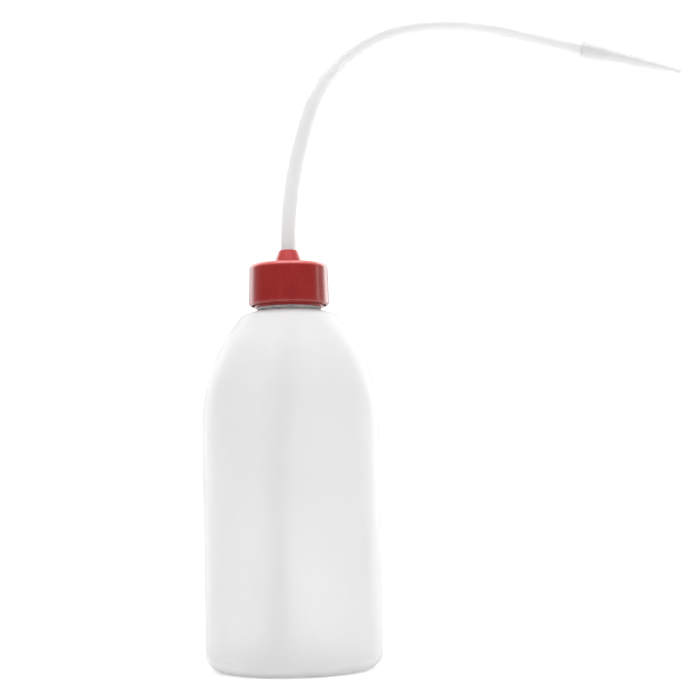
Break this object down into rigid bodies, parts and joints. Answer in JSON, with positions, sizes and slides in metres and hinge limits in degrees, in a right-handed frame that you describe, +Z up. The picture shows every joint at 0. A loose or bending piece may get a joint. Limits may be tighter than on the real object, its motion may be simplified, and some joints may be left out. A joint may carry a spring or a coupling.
{
  "type": "laboratory wash bottle",
  "caption": "Round squeeze bottle with a domed shoulder, a screw cap with a conical nose, and a bent delivery tube that arches over to a tapered jet.",
  "frame": {"origin": "centre of the flat ring that the bottle stands on", "axes": "+Z up along the bottle's axis, +X along the delivery tube's arm towards the jet, +Y square to the plane that the tube bends in"},
  "size_m": [0.2104, 0.075, 0.2784],
  "materials": {
    "bottle_polyethylene": "milky translucent, satin",
    "seal_foam": "fine closed-cell foam",
    "cap_polypropylene": "moulded, semi-gloss",
    "tube_polyethylene": "milky translucent, smooth",
    "jet_polyethylene": "milky translucent, smooth"
  },
  "bodies": {
    "bottle": {"bottle": "bottle_polyethylene"},
    "seal": {"sealing_disc": "seal_foam"},
    "closure": {"screw_cap": "cap_polypropylene"},
    "spout": {"delivery_tube": "tube_polyethylene", "jet": "jet_polyethylene"}
  },
  "joints": [
    {"name": "closure_lift", "type": "slide", "parent": "bottle", "child": "seal", "axis": [0, 0, 1], "range_m": [0, 0.19]},
    {"name": "cap_turn", "type": "hinge", "parent": "seal", "child": "closure", "pos_m": [0, 0, 0.1693], "axis": [0, 0, 1], "range_deg": [0, 720]},
    {"name": "tube_swivel", "type": "hinge", "parent": "closure", "child": "spout", "pos_m": [0, 0, 0.1773], "axis": [0, 0, 1], "continuous": true}
  ]
}
